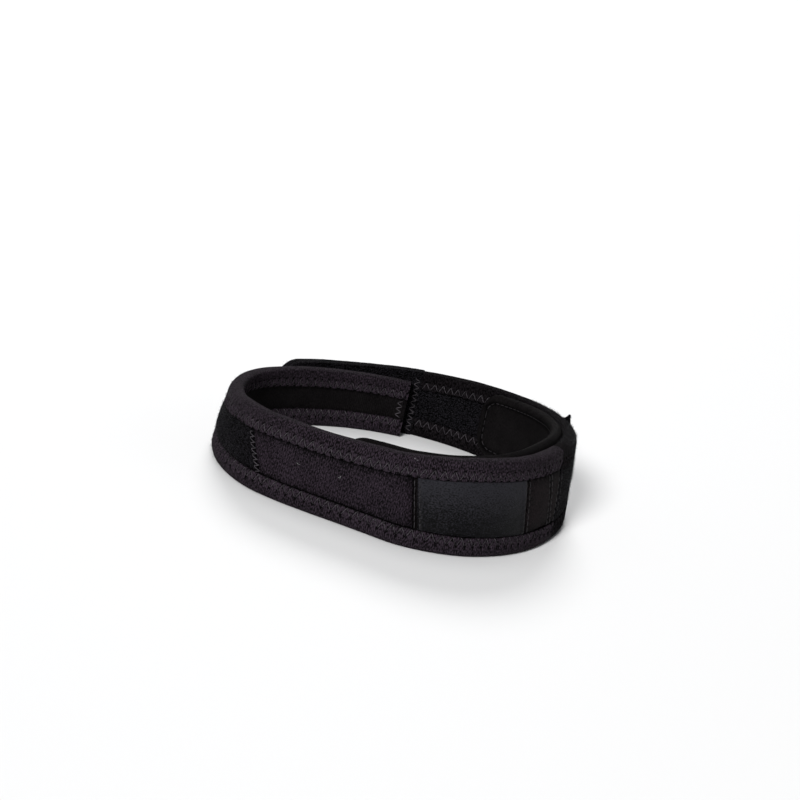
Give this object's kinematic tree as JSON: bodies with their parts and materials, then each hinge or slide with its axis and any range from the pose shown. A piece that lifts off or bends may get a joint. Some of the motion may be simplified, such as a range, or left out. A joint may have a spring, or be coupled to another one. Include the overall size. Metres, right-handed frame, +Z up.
{
  "type": "patella strap",
  "caption": "Padded knee strap closed into a loop, with sewn hems, a bare woven label and a hook-and-loop closure.",
  "frame": {"origin": "on the surface the strap stands on, under the middle of its bounding box", "axes": "+Z up along the loop's axis, from the lower to the upper edge; -Y towards the front of the knee, where the label is; +X towards the side seam"},
  "size_m": [0.1328, 0.1402, 0.0354],
  "materials": {
    "jersey": "fine knit, matt",
    "hem": "folded knit tape, matt, sewn with zigzag",
    "neoprene": "foam rubber under a matt jersey lining",
    "pile": "brushed loop pile",
    "label": "woven satin",
    "hooks": "hook tape"
  },
  "bodies": {
    "root": {"front_band": "neoprene", "upper_binding": "hem", "lower_binding": "hem", "centre_panel": "jersey", "label": "label", "end_panel": "jersey", "side_panel": "jersey", "loop_patch": "pile", "back_strap": "pile", "hook_patch": "hooks", "tendon_pad": "neoprene"}
  },
  "joints": []
}
